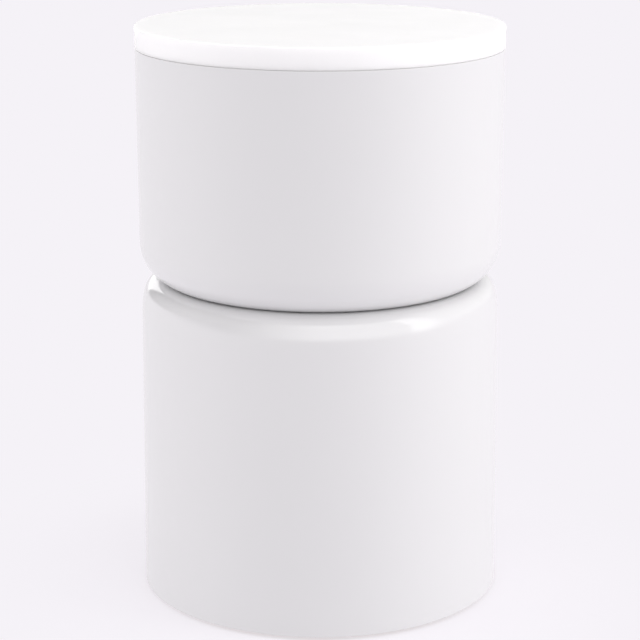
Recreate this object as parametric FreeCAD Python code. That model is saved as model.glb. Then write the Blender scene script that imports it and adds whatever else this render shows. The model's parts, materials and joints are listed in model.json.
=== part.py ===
import FreeCAD, Part
import math
import os

# Drum side table, in millimetres: Z up, origin on the floor at the middle of the foot.

# Overall sizes
drum_radius = 165.0
lower_height = 287.9
upper_height = 209.3
lid_thickness = 19.0

# Drum shells
shell_wall = 4.0
lower_draft = 0.45
upper_draft = 0.3
shoulder_sweep_radius = 80.0
shoulder_edge_radius = 16.0
shoulder_blend_angle = 14.0
floor_round = 37.0
floor_edge_radius = 6.0
floor_blend_angle = 65.0
edge_ease = 0.8
bond_line = 0.3

# Lid and mouth
seam_ease = 0.3
gasket_thickness = 0.5
gasket_recess = 1.0
gasket_width = 15.0
ledge_width = 21.0
ledge_thickness = 5.0
ledge_leg_height = 24.0
ledge_leg_thickness = 4.0
ledge_corner = 3.0
lid_clearance = 1.0
lid_ring_width = 14.0
lid_ring_depth = 14.0
lid_ring_lead = 3.0
lid_screw_count = 6
lid_top_ease = 1.2
insert_radius = 4.0
insert_length = 10.0
insert_groove = 0.5
insert_hole_spare = 1.0

# Waist joint
spacer_thickness = 0.3
spacer_setback = 3.0
clamp_margin = 8.0
clamp_thickness = 5.0
clamp_bore_radius = 60.0
clamp_ease = 1.5
waist_stud_edge = 30.0
waist_stud_count = 6
stud_socket_depth = 2.5
stud_lead = 1.0

# Foot
plate_thickness = 9.0
plate_recess = 2.0
plate_clearance = 1.0
base_ring_width = 31.0
base_ring_height = 18.0
base_screw_count = 8
base_screw_edge = 14.0
pilot_spare = 1.5
ballast_gap = 25.0
ballast_thickness = 12.0
ballast_bore_radius = 20.0
ballast_ease = 2.0
ballast_bolt_edge = 35.0
ballast_bolt_count = 4
glide_radius = 14.0
glide_height = 5.0
glide_edge = 24.0
glide_round = 1.5
glide_pocket = 1.2
glide_count = 4

# Fasteners: thread radius, head radius, hexagon socket size and clearances
waist_thread = 4.0
lid_thread = 2.5
lid_head = 5.0
lid_socket = 3.0
ballast_thread = 3.0
ballast_head = 6.0
ballast_socket = 4.0
wood_thread = 2.0
wood_head = 4.0
wood_socket = 2.5
wood_tip = 3.0
base_screw_length = 22.0
glide_screw_length = 10.0
thread_clearance = 0.05
hole_clearance = 0.5
bolt_spare = 2.5
washer_rim = 4.0
washer_thickness = 1.6
nut_flat_ratio = 1.62
nut_height_ratio = 1.0
nut_collar_height = 1.5

# Heights, worked up from the floor
plate_z = glide_height
base_z = plate_z - plate_recess
base_ring_z = plate_z + plate_thickness
crown_z = base_z + lower_height
upper_z = crown_z + spacer_thickness
mouth_z = upper_z + upper_height
lid_z = mouth_z + gasket_thickness

# Radii that several pieces share
lid_bore_radius = drum_radius - shell_wall - ledge_width
lid_ring_outer = lid_bore_radius - lid_clearance
lid_screw_circle = lid_ring_outer - lid_ring_width / 2

axis_foot = FreeCAD.Vector(0, 0, 0)
axis_up = FreeCAD.Vector(0, 0, 1)
full_turn = 360.0


# Shapes of revolution
def point(radius, height):
    return FreeCAD.Vector(radius, 0, height)


def polygon(corners):
    """Straight edges through these (radius, height) corners, closed."""
    following = corners[1:] + corners[:1]
    return [Part.makeLine(point(*a), point(*b)) for a, b in zip(corners, following)]


def turned(edges):
    """The solid that a closed outline sweeps in one turn about the table's axis."""
    face = Part.Face(Part.Wire(Part.__sortEdges__(edges)))
    return face.revolve(axis_foot, axis_up, full_turn)


def ring(inner, outer, low, high):
    """A flat ring, or a disc where the inner radius is nothing."""
    return turned(polygon([(inner, low), (outer, low), (outer, high), (inner, high)]))


def eased(shape, radius, height, ease):
    """The shape with its circular edge at this radius and height rounded."""
    near = 0.01
    rims = []
    for edge in shape.Edges:
        if not isinstance(edge.Curve, Part.Circle):
            continue
        same_radius = abs(edge.Curve.Radius - radius) < near
        if same_radius and abs(edge.Curve.Center.z - height) < near:
            rims.append(edge)
    return shape.makeFillet(ease, rims)


# Moulded skins: a skin is a list of (radius, height, tilt), where tilt is how far the surface looks up
def swept(start, radius, tilt):
    """The station reached by an arc of this radius that turns the surface to this tilt."""
    across = math.cos(math.radians(tilt)) - math.cos(math.radians(start[2]))
    rise = math.sin(math.radians(tilt)) - math.sin(math.radians(start[2]))
    return (start[0] + radius * across, start[1] + radius * rise, tilt)


def inset(station, depth):
    """The same station on a parallel skin, this deep inside."""
    radius, height, tilt = station
    angle = math.radians(tilt)
    return (radius - depth * math.cos(angle), height - depth * math.sin(angle), tilt)


def skin_edges(stations):
    """Straight edges between stations of one tilt, and tangent arcs where the tilt changes."""
    edges = []
    for start, end in zip(stations, stations[1:]):
        first = point(start[0], start[1])
        last = point(end[0], end[1])
        if start[2] == end[2]:
            edges.append(Part.makeLine(first, last))
            continue
        turn = math.radians(end[2] - start[2])
        arc_radius = first.distanceToPoint(last) / (2 * math.sin(turn / 2))
        middle = swept(start, arc_radius, (start[2] + end[2]) / 2)
        edges.append(Part.Arc(first, point(middle[0], middle[1]), last).toShape())
    return edges


def shell(outer, inner):
    """A wall between two skins that both start on the axis or at the same open rim."""
    start = Part.makeLine(point(*outer[0][:2]), point(*inner[0][:2]))
    end = Part.makeLine(point(*outer[-1][:2]), point(*inner[-1][:2]))
    return turned(skin_edges(outer) + skin_edges(inner) + [start, end])


def lower_radius(height, depth):
    """Radius of the lower drum's drafted wall at this height, at this depth inside it."""
    draft = math.radians(lower_draft)
    return drum_radius - (height - base_z) * math.tan(draft) - depth / math.cos(draft)


def upper_radius(height, depth):
    """Radius of the upper drum's drafted wall at this height, at this depth inside it."""
    draft = math.radians(upper_draft)
    return drum_radius - (mouth_z - height) * math.tan(draft) - depth / math.cos(draft)


# Patterns
def around(shape, count, first_angle):
    """Copies of a shape at equal steps about the table's axis."""
    copies = []
    for step in range(count):
        copy = shape.copy()
        copy.rotate(axis_foot, axis_up, first_angle + step * full_turn / count)
        copies.append(copy)
    return copies


def at_circle(shape, circle, count, first_angle):
    """Copies of a shape, modelled on the axis, spread on a circle."""
    moved = shape.copy()
    moved.translate(FreeCAD.Vector(circle, 0, 0))
    return around(moved, count, first_angle)


def round_bar(radius, low, high):
    """A round bar on the axis, which also cuts a round hole."""
    return Part.makeCylinder(radius, high - low, FreeCAD.Vector(0, 0, low))


def upside_down(shape, height):
    """The shape turned over, so that what was up at zero looks down at this height."""
    flipped = shape.copy()
    flipped.rotate(axis_foot, FreeCAD.Vector(1, 0, 0), full_turn / 2)
    flipped.translate(FreeCAD.Vector(0, 0, height))
    return flipped


# Fasteners, modelled head up with the head's face at zero
def hexagon(flats, low, high):
    """A six-sided bar on the axis, this wide across its flats."""
    sides = 6
    corner = flats / math.sqrt(3)
    corners = []
    for step in range(sides + 1):
        angle = math.radians(step * full_turn / sides)
        corners.append(FreeCAD.Vector(corner * math.cos(angle), corner * math.sin(angle), low))
    return Part.Face(Part.makePolygon(corners)).extrude(FreeCAD.Vector(0, 0, high - low))


def countersunk(thread, head, length, spare):
    """A countersunk bolt's turned form, or the hole that it drops into when spare is added."""
    cone = head - thread
    corners = [(0, 0), (head + spare, 0), (thread + spare, -cone), (thread + spare, -length), (0, -length)]
    return turned(polygon(corners))


def socket_bolt(thread, head, length, socket):
    """A countersunk bolt with a hexagon socket."""
    return countersunk(thread, head, length, 0).cut(hexagon(socket, -(head - thread), 0))


def wood_screw(length):
    """A countersunk wood screw with a pointed tip and a hexagon socket."""
    cone = wood_head - wood_thread
    shank = length - wood_tip
    corners = [(0, 0), (wood_head, 0), (wood_thread, -cone), (wood_thread, -shank), (0, -length)]
    return turned(polygon(corners)).cut(hexagon(wood_socket, -cone, 0))


def washer(thread, low):
    return ring(thread + hole_clearance, thread + washer_rim, low, low + washer_thickness)


def lock_nut(thread, low):
    """A hexagon nut with a round collar on its far side."""
    flats = 2 * thread * nut_flat_ratio
    top = low + 2 * thread * nut_height_ratio
    collar_top = top + nut_collar_height
    collar_radius = (flats - nut_collar_height) / 2
    body = hexagon(flats, low, top).fuse(round_bar(collar_radius, top, collar_top))
    bore = round_bar(thread + thread_clearance, low, collar_top)
    return body.cut(bore).removeSplitter()


def nut_stack(thread):
    """How far a washer and a lock nut stand off the face that they clamp."""
    return washer_thickness + 2 * thread * nut_height_ratio + nut_collar_height


# Lower drum: drafted wall, two-radius shoulder, flat crown
wall_foot = (drum_radius, base_z, lower_draft)
shoulder_turns = ((shoulder_sweep_radius, shoulder_blend_angle), (shoulder_edge_radius, 90.0))
shoulder_rise = wall_foot
for turn_radius, turn_tilt in shoulder_turns:
    shoulder_rise = swept(shoulder_rise, turn_radius, turn_tilt)
straight_rise = lower_height - (shoulder_rise[1] - base_z)
lower_skin = [wall_foot]
lower_skin.append((lower_radius(base_z + straight_rise, 0), base_z + straight_rise, lower_draft))
for turn_radius, turn_tilt in shoulder_turns:
    lower_skin.append(swept(lower_skin[-1], turn_radius, turn_tilt))
lower_skin.append((0, crown_z, 90.0))
lower_inside = [inset(station, shell_wall) for station in lower_skin]
lower_inside[0] = (lower_radius(base_z, shell_wall), base_z, lower_draft)
lower_inside[-1] = (0, crown_z - shell_wall, 90.0)
lower_drum = eased(shell(lower_skin, lower_inside), drum_radius, base_z, edge_ease)

# Upper drum: flat floor, two-radius round, drafted wall, open mouth
mouth_rim = (drum_radius, mouth_z, -upper_draft)
floor_middle = (0, upper_z, -90.0)
floor_turns = ((floor_edge_radius, -floor_blend_angle), (floor_round, -upper_draft))
round_rise = floor_middle
for turn_radius, turn_tilt in floor_turns:
    round_rise = swept(round_rise, turn_radius, turn_tilt)
floor_end = (upper_radius(round_rise[1], 0) - round_rise[0], upper_z, -90.0)
upper_skin = [floor_middle, floor_end]
for turn_radius, turn_tilt in floor_turns:
    upper_skin.append(swept(upper_skin[-1], turn_radius, turn_tilt))
upper_skin.append(mouth_rim)
upper_inside = [inset(station, shell_wall) for station in upper_skin]
upper_inside[0] = (0, upper_z + shell_wall, -90.0)
upper_inside[-1] = (upper_radius(mouth_z, shell_wall), mouth_z, -upper_draft)
upper_drum = eased(shell(upper_skin, upper_inside), drum_radius, mouth_z, seam_ease)

# Waist joint: studs under the clamp disc pass both floors, the spacer and the clamp ring
floor_flat = floor_end[0]
clamp_radius = floor_flat - clamp_margin
spacer_radius = floor_flat - spacer_setback
waist_circle = clamp_radius - waist_stud_edge
clamp_disc_z = upper_z + shell_wall
clamp_top = clamp_disc_z + clamp_thickness
clamp_ring_z = crown_z - shell_wall - clamp_thickness
stud_top = clamp_disc_z + stud_socket_depth
stud_end = clamp_ring_z - nut_stack(waist_thread) - bolt_spare
waist_hole = round_bar(waist_thread + hole_clearance, clamp_ring_z, clamp_disc_z)
waist_holes = at_circle(waist_hole, waist_circle, waist_stud_count, 0)
stud_socket = round_bar(waist_thread + thread_clearance, clamp_disc_z, stud_top)

lower_drum = lower_drum.cut(waist_holes)
upper_drum = upper_drum.cut(waist_holes)
clamp_disc = eased(ring(0, clamp_radius, clamp_disc_z, clamp_top), clamp_radius, clamp_top, clamp_ease)
clamp_disc = clamp_disc.cut(at_circle(stud_socket, waist_circle, waist_stud_count, 0))
waist_spacer = ring(clamp_bore_radius, spacer_radius, crown_z, upper_z).cut(waist_holes)
lower_clamp_ring = ring(clamp_bore_radius, clamp_radius, clamp_ring_z, crown_z - shell_wall)
lower_clamp_ring = lower_clamp_ring.cut(waist_holes)

waist_stud_corners = [
    (0, stud_top),
    (waist_thread, stud_top),
    (waist_thread, stud_end + stud_lead),
    (waist_thread - stud_lead, stud_end),
    (0, stud_end),
]
waist_stud = turned(polygon(waist_stud_corners))
waist_washer = upside_down(washer(waist_thread, 0), clamp_ring_z)
waist_nut = upside_down(lock_nut(waist_thread, washer_thickness), clamp_ring_z)

# Mouth: angle ring bonded inside the upper drum, with a gasket on its ledge
leg_z = mouth_z - ledge_leg_height
ledge_z = mouth_z - ledge_thickness
leg_outside = shell_wall + bond_line
leg_inside = leg_outside + ledge_leg_thickness
mouth_corners = [
    (lid_bore_radius, mouth_z),
    (upper_radius(mouth_z, leg_outside), mouth_z),
    (upper_radius(leg_z, leg_outside), leg_z),
    (upper_radius(leg_z, leg_inside), leg_z),
    (upper_radius(ledge_z, leg_inside), ledge_z),
    (lid_bore_radius, ledge_z),
]
mouth_ring = turned(polygon(mouth_corners))
mouth_ring = eased(mouth_ring, upper_radius(ledge_z, leg_inside), ledge_z, ledge_corner)
mouth_ring = eased(mouth_ring, lid_bore_radius, mouth_z, edge_ease)
gasket_outer = drum_radius - gasket_recess
mouth_gasket = ring(gasket_outer - gasket_width, gasket_outer, mouth_z, lid_z)

# Lid: slab with threaded inserts, and the spigot ring that centres it in the mouth
insert_hole = round_bar(insert_radius + thread_clearance, lid_z, lid_z + insert_length + insert_hole_spare)
lid_slab = ring(0, drum_radius, lid_z, lid_z + lid_thickness)
lid_slab = eased(lid_slab, drum_radius, lid_z + lid_thickness, lid_top_ease)
lid_slab = eased(lid_slab, drum_radius, lid_z, seam_ease)
lid_slab = lid_slab.cut(at_circle(insert_hole, lid_screw_circle, lid_screw_count, 0))

insert_bore = lid_thread + thread_clearance
insert_third = insert_length / 3
insert_neck = insert_radius - insert_groove
insert_corners = [
    (insert_bore, lid_z),
    (insert_radius, lid_z),
    (insert_radius, lid_z + insert_third),
    (insert_neck, lid_z + insert_third),
    (insert_neck, lid_z + 2 * insert_third),
    (insert_radius, lid_z + 2 * insert_third),
    (insert_radius, lid_z + insert_length),
    (insert_bore, lid_z + insert_length),
]
lid_insert = turned(polygon(insert_corners))

lid_ring_z = lid_z - lid_ring_depth
lid_screw_length = lid_ring_depth + insert_length - insert_hole_spare
lid_seat = upside_down(countersunk(lid_thread, lid_head, lid_screw_length, hole_clearance), lid_ring_z)
lid_ring_corners = [
    (lid_ring_outer - lid_ring_width, lid_ring_z),
    (lid_ring_outer - lid_ring_lead, lid_ring_z),
    (lid_ring_outer, lid_ring_z + lid_ring_lead),
    (lid_ring_outer, lid_z),
    (lid_ring_outer - lid_ring_width, lid_z),
]
lid_ring = turned(polygon(lid_ring_corners))
lid_ring = lid_ring.cut(at_circle(lid_seat, lid_screw_circle, lid_screw_count, 0))
lid_screw = upside_down(socket_bolt(lid_thread, lid_head, lid_screw_length, lid_socket), lid_ring_z)

# Foot: timber ring bonded in the lower drum, plate, weight and glides
base_ring_top = base_ring_z + base_ring_height
base_ring_inner = lower_radius(base_ring_z, shell_wall) - base_ring_width
ring_outside = shell_wall + bond_line
base_ring_corners = [
    (base_ring_inner, base_ring_z),
    (lower_radius(base_ring_z, ring_outside), base_ring_z),
    (lower_radius(base_ring_top, ring_outside), base_ring_top),
    (base_ring_inner, base_ring_top),
]
base_screw_circle = base_ring_inner + base_screw_edge
base_pilot_end = plate_z + base_screw_length + pilot_spare
base_pilot = round_bar(wood_thread + thread_clearance, base_ring_z, base_pilot_end)
base_screw_turn = full_turn / base_screw_count / 2
base_ring = turned(polygon(base_ring_corners))
base_ring = base_ring.cut(at_circle(base_pilot, base_screw_circle, base_screw_count, base_screw_turn))
base_screw = upside_down(wood_screw(base_screw_length), plate_z)
base_seat = upside_down(countersunk(wood_thread, wood_head, base_screw_length, thread_clearance), plate_z)

ballast_radius = base_ring_inner - ballast_gap
ballast_circle = ballast_radius - ballast_bolt_edge
ballast_top = base_ring_z + ballast_thickness
ballast_bolt_length = ballast_top - plate_z + nut_stack(ballast_thread) + bolt_spare
ballast_seat = countersunk(ballast_thread, ballast_head, ballast_bolt_length, thread_clearance)
ballast_hole = round_bar(ballast_thread + hole_clearance, base_ring_z, ballast_top)
ballast_plate = ring(ballast_bore_radius, ballast_radius, base_ring_z, ballast_top)
ballast_plate = eased(ballast_plate, ballast_radius, ballast_top, ballast_ease)
ballast_plate = eased(ballast_plate, ballast_bore_radius, ballast_top, ballast_ease)
ballast_plate = ballast_plate.cut(at_circle(ballast_hole, ballast_circle, ballast_bolt_count, 0))
ballast_bolt = socket_bolt(ballast_thread, ballast_head, ballast_bolt_length, ballast_socket)
ballast_bolt = upside_down(ballast_bolt, plate_z)
ballast_washer = washer(ballast_thread, ballast_top)
ballast_nut = lock_nut(ballast_thread, ballast_top + washer_thickness)

glide_circle = lower_radius(base_z, shell_wall) - glide_edge
glide_turn = full_turn / glide_count / 2
glide_seat = countersunk(wood_thread, wood_head, glide_screw_length, thread_clearance)
glide_pocket_hole = round_bar(wood_head + thread_clearance, 0, glide_pocket)
glide = eased(ring(0, glide_radius, 0, plate_z), glide_radius, 0, glide_round)
glide = glide.cut([upside_down(glide_seat, glide_pocket), glide_pocket_hole])
glide_screw = upside_down(wood_screw(glide_screw_length), glide_pocket)
glide_pilot = round_bar(wood_thread + thread_clearance, plate_z, glide_pocket + glide_screw_length)

plate_radius = lower_radius(base_ring_z, shell_wall) - plate_clearance
base_plate = ring(0, plate_radius, plate_z, base_ring_z)
base_plate = base_plate.cut(at_circle(base_seat, base_screw_circle, base_screw_count, base_screw_turn))
base_plate = base_plate.cut(
    at_circle(upside_down(ballast_seat, plate_z), ballast_circle, ballast_bolt_count, 0)
)
base_plate = base_plate.cut(at_circle(glide_pilot, glide_circle, glide_count, glide_turn))

# One file per node
nodes = {
    "lid_slab": [lid_slab],
    "lid_inserts": at_circle(lid_insert, lid_screw_circle, lid_screw_count, 0),
    "lid_ring": [lid_ring],
    "lid_ring_screws": at_circle(lid_screw, lid_screw_circle, lid_screw_count, 0),
    "mouth_gasket": [mouth_gasket],
    "mouth_ring": [mouth_ring],
    "upper_drum": [upper_drum],
    "clamp_disc": [clamp_disc],
    "waist_spacer": [waist_spacer],
    "lower_drum": [lower_drum],
    "lower_clamp_ring": [lower_clamp_ring],
    "waist_studs": at_circle(waist_stud, waist_circle, waist_stud_count, 0),
    "waist_washers": at_circle(waist_washer, waist_circle, waist_stud_count, 0),
    "waist_nuts": at_circle(waist_nut, waist_circle, waist_stud_count, 0),
    "base_ring": [base_ring],
    "base_plate": [base_plate],
    "base_screws": at_circle(base_screw, base_screw_circle, base_screw_count, base_screw_turn),
    "ballast_plate": [ballast_plate],
    "ballast_bolts": at_circle(ballast_bolt, ballast_circle, ballast_bolt_count, 0),
    "ballast_washers": at_circle(ballast_washer, ballast_circle, ballast_bolt_count, 0),
    "ballast_nuts": at_circle(ballast_nut, ballast_circle, ballast_bolt_count, 0),
    "glides": at_circle(glide, glide_circle, glide_count, glide_turn),
    "glide_screws": at_circle(glide_screw, glide_circle, glide_count, glide_turn),
}
os.makedirs("parts", exist_ok=True)
for name, shapes in nodes.items():
    node = shapes[0] if len(shapes) == 1 else Part.makeCompound(shapes)
    node.exportStep("parts/" + name + ".step")
    print(name, len(node.Solids), "solids", round(node.Volume / 1000, 2), "cm3")
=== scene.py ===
# %% [markdown]
# # A gloss white drum side table
# The table is two round moulded drums, one standing on the other, with a thick white lid on top.
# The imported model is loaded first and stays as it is: it says where every piece is and how large.
# Everything made here is in metres and sits in that same frame, so nothing has to be fitted.

# %% Load the frame
import json
import math

import bmesh
import bpy
from mathutils import Matrix, Vector


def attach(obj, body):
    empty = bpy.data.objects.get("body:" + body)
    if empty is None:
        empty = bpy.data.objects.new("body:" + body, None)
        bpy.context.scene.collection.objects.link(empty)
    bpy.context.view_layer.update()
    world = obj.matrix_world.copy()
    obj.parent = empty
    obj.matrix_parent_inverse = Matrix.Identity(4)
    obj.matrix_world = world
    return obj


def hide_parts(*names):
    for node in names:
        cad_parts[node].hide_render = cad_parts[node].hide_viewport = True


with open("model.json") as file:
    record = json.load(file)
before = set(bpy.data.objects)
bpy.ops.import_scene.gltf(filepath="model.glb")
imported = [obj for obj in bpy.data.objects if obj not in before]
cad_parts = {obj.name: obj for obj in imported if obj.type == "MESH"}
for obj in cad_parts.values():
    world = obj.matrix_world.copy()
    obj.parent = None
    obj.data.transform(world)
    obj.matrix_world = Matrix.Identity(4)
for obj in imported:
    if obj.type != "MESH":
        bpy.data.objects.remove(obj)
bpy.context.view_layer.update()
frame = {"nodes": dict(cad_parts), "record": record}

# %% [markdown]
# ## Sizes read from the frame
# Every piece of this table is round about an upright axis. A drum or a ring needs four numbers: its inner
# and outer radius, and its lowest and highest level. A set of screws on a circle needs the circle's
# radius and half the width of one screw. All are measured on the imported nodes, so this script follows
# the model if a size changes there.

# %% Measure the nodes
mm = 0.001


class Span:
    """Radii and levels of one node about the table's axis."""

    def __init__(self, node):
        places = [vertex.co for vertex in frame["nodes"][node].data.vertices]
        self.inner = min(place.xy.length for place in places)
        self.outer = max(place.xy.length for place in places)
        self.low = min(place.z for place in places)
        self.high = max(place.z for place in places)
        self.circle = (self.inner + self.outer) / 2
        self.reach = (self.outer - self.inner) / 2


span = {node: Span(node) for node in frame["nodes"]}
table_radius = span["lid_slab"].outer
print("table", round(2 * table_radius / mm), "mm across,", round(span["lid_slab"].high / mm), "mm high")

# %% [markdown]
# ## Building node trees in code
# A node tree is a list of nodes and the wires between them. Two small helpers keep the code readable:
# one adds a node and either wires or sets each of its inputs, the other adds a Math node and hands back
# its result, so that a formula reads from left to right.


# %% Helpers for node trees
def add(tree, kind, feeds=None, **settings):
    """A new node with these settings. A feed is a socket to wire in, or a value to set."""
    node = tree.nodes.new(kind)
    for setting, value in settings.items():
        setattr(node, setting, value)
    for socket, feed in (feeds or {}).items():
        if isinstance(feed, bpy.types.NodeSocket):
            tree.links.new(feed, node.inputs[socket])
        else:
            node.inputs[socket].default_value = feed
    return node


def maths(tree, operation, *values):
    """The result of one sum on sockets and numbers."""
    return add(tree, "ShaderNodeMath", dict(enumerate(values)), operation=operation).outputs[0]


def new_tree(name, kind, inputs, outputs):
    """An empty tree, its inputs and its outputs. Each is a name and a socket type, with any default."""
    tree = bpy.data.node_groups.new(name, kind)
    for label, socket_type, *default in inputs:
        socket = tree.interface.new_socket(label, in_out="INPUT", socket_type=socket_type)
        if default:
            socket.default_value = default[0]
    for label, socket_type in outputs:
        tree.interface.new_socket(label, in_out="OUTPUT", socket_type=socket_type)
    return tree, add(tree, "NodeGroupInput").outputs, add(tree, "NodeGroupOutput").inputs


geometry_socket = "NodeSocketGeometry"
value_socket = "NodeSocketFloat"
count_socket = "NodeSocketInt"
vector_socket = "NodeSocketVector"
colour_socket = "NodeSocketColor"
print("helpers ready")

# %% [markdown]
# ## A node tree that turns an outline
# A drum, a lid, a ring and a screw are all turned shapes: an outline goes once round an axis, as on a
# lathe. A Screw modifier could do it, but Geometry Nodes can also round the corners, which is what a
# mould maker does with a radius. The piece's own mesh is a line through its corners, and each corner
# carries its radius in an attribute. The tree rounds the corners, divides long runs so that the shading
# stays even, and sweeps the line round a tiny circle on the axis. The line starts that much inside, so
# the radii come out exact.

# %% The turning tree
axis_circle_radius = 0.001 * mm
weld_distance = 0.005 * mm
turning_inputs = [
    ("Outline", geometry_socket),
    ("Segments", count_socket, 256),
    ("Points per Round", count_socket, 16),
    ("Longest Run", value_socket, 6 * mm),
]
turning, given, made = new_tree(
    "turn_the_outline", "GeometryNodeTree", turning_inputs, [("Turned", geometry_socket)]
)
line = add(turning, "GeometryNodeMeshToCurve", {"Mesh": given["Outline"]})
corner_radius = add(turning, "GeometryNodeInputNamedAttribute", {"Name": "round"}, data_type="FLOAT")
rounding = {"Curve": line.outputs[0], "Radius": corner_radius.outputs[0], "Count": given["Points per Round"]}
rounded = add(turning, "GeometryNodeFilletCurve", rounding, mode="POLY")

here = add(turning, "GeometryNodeInputPosition").outputs[0]
following = add(turning, "GeometryNodeOffsetPointInCurve", {"Offset": 1}).outputs["Point Index"]
at_next = {"Index": following, "Value": here}
there = add(turning, "GeometryNodeFieldAtIndex", at_next, data_type="FLOAT_VECTOR")
run = add(turning, "ShaderNodeVectorMath", {0: here, 1: there.outputs[0]}, operation="DISTANCE")
cuts = maths(turning, "DIVIDE", run.outputs["Value"], given["Longest Run"])
divided = add(turning, "GeometryNodeSubdivideCurve", {"Curve": rounded.outputs[0], "Cuts": cuts})

laid = {"Geometry": divided.outputs[0], "Rotation": (math.pi / 2, 0, 0)}
laid["Translation"] = (-axis_circle_radius, 0, 0)
profile = add(turning, "GeometryNodeTransform", laid)
circle_sizes = {"Resolution": given["Segments"], "Radius": axis_circle_radius}
circle = add(turning, "GeometryNodeCurvePrimitiveCircle", circle_sizes)
sweep_feeds = {"Curve": circle.outputs[0], "Profile Curve": profile.outputs[0]}
sweep = add(turning, "GeometryNodeCurveToMesh", sweep_feeds)
weld = add(turning, "GeometryNodeMergeByDistance", {"Geometry": sweep.outputs[0], "Distance": weld_distance})
turning.links.new(weld.outputs[0], made["Turned"])
print("tree", turning.name, "has", len(turning.nodes), "nodes")

# %% [markdown]
# ## A node tree that cuts a thread
# A thread is a groove that climbs by one pitch a turn. On a turned bar this needs no new faces: each
# point moves towards the axis by an amount that depends on its height less its share of the turn. A
# triangle wave gives the vee of a machine thread, and a steeper wave leaves the thin crest of a wood
# screw. With many starts and a long pitch the same formula makes the knurl on a brass insert.

# %% The threading tree
thread_inputs = [
    ("Thread Pitch", value_socket, 1 * mm),
    ("Thread Depth", value_socket, 0.0),
    ("Thread Low", value_socket, 0.0),
    ("Thread High", value_socket, 1 * mm),
    ("Thread Core", value_socket, 0.0),
    ("Thread Starts", value_socket, 1.0),
    ("Steepness", value_socket, 1.0),
]
threading, given, made = new_tree(
    "cut_a_thread",
    "GeometryNodeTree",
    [("Bar", geometry_socket)] + thread_inputs,
    [("Threaded", geometry_socket)],
)
axes = add(threading, "ShaderNodeSeparateXYZ", {0: add(threading, "GeometryNodeInputPosition").outputs[0]})
x, y, z = axes.outputs
outward = add(threading, "ShaderNodeCombineXYZ", {"X": x, "Y": y}).outputs[0]
from_axis = add(threading, "ShaderNodeVectorMath", {0: outward}, operation="LENGTH").outputs["Value"]
turn_share = maths(threading, "DIVIDE", maths(threading, "ARCTAN2", y, x), 2 * math.pi)
climb = maths(threading, "DIVIDE", z, given["Thread Pitch"])
phase = maths(threading, "SUBTRACT", climb, maths(threading, "MULTIPLY", turn_share, given["Thread Starts"]))
wave = maths(threading, "MULTIPLY", maths(threading, "PINGPONG", phase, 0.5), 2.0)
groove = maths(threading, "MINIMUM", maths(threading, "MULTIPLY", wave, given["Steepness"]), 1.0)
above = maths(threading, "SUBTRACT", z, given["Thread Low"])
below = maths(threading, "SUBTRACT", given["Thread High"], z)
fading = maths(threading, "DIVIDE", maths(threading, "MINIMUM", above, below), given["Thread Pitch"])
window = add(threading, "ShaderNodeClamp", {"Value": fading}).outputs[0]
depth = maths(threading, "MULTIPLY", maths(threading, "MULTIPLY", groove, window), given["Thread Depth"])
inward = {0: outward, "Scale": maths(threading, "MULTIPLY", depth, -1.0)}
shift = add(threading, "ShaderNodeVectorMath", inward, operation="SCALE")
outside = maths(threading, "GREATER_THAN", from_axis, given["Thread Core"])
moved = {"Geometry": given["Bar"], "Selection": outside, "Offset": shift.outputs["Vector"]}
threading.links.new(add(threading, "GeometryNodeSetPosition", moved).outputs[0], made["Threaded"])
print("tree", threading.name, "has", len(threading.nodes), "nodes")

# %% [markdown]
# ## Steps that several trees share
# The table is made as in a workshop: pieces are turned, drilled and fitted with screws. Some steps come
# back in more than one tree, such as a ring of copies, a cutting tool on the axis, or a Boolean, so each is
# a small function that adds its nodes to the tree at hand. The last one ends a tree in Realize Instances
# and Set Material, because only real faces leave the file.

# %% Steps of the trees
crisp_edge = math.radians(35)


def nested(tree, inner, sockets):
    """Another tree as one node of this one, fed by sockets of the same names."""
    node = add(tree, "GeometryNodeGroup", node_tree=inner)
    for socket in node.inputs:
        if socket.name in sockets:
            tree.links.new(sockets[socket.name], socket)
    return node


def on_circle(tree, geometry, sockets):
    """Copies of some geometry, spread evenly on a circle about the axis."""
    share = maths(tree, "DIVIDE", add(tree, "GeometryNodeInputIndex").outputs[0], sockets["Count"])
    angle = maths(tree, "ADD", maths(tree, "MULTIPLY", share, 2 * math.pi), sockets["First Angle"])
    reach = add(tree, "ShaderNodeCombineXYZ", {"X": sockets["Circle"]}).outputs[0]
    place = add(tree, "ShaderNodeVectorRotate", {"Vector": reach, "Angle": angle}, rotation_type="Z_AXIS")
    points = add(tree, "GeometryNodePoints", {"Count": sockets["Count"], "Position": place.outputs[0]})
    turn = add(tree, "ShaderNodeCombineXYZ", {"Z": angle}).outputs[0]
    copies = {"Points": points.outputs[0], "Instance": geometry, "Rotation": turn}
    ring = add(tree, "GeometryNodeInstanceOnPoints", copies)
    return add(tree, "GeometryNodeRealizeInstances", {0: ring.outputs[0]}).outputs[0]


def cone(tree, sides, low_radius, high_radius, low, high):
    """A cone or a bar on the axis between two levels."""
    sizes = {"Vertices": sides, "Radius Bottom": low_radius, "Radius Top": high_radius}
    sizes["Depth"] = maths(tree, "SUBTRACT", high, low)
    shape = add(tree, "GeometryNodeMeshCone", sizes)
    lift = add(tree, "ShaderNodeCombineXYZ", {"Z": low}).outputs[0]
    return add(tree, "GeometryNodeTransform", {"Geometry": shape.outputs[0], "Translation": lift}).outputs[0]


def carved(tree, operation, body, tool):
    """The body without the tool, or only what both share."""
    cut = add(tree, "GeometryNodeMeshBoolean", operation=operation, solver="MANIFOLD")
    tree.links.new(body, cut.inputs["Mesh 1" if operation == "DIFFERENCE" else "Mesh 2"])
    tree.links.new(tool, cut.inputs["Mesh 2"])
    return cut.outputs["Mesh"]


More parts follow.
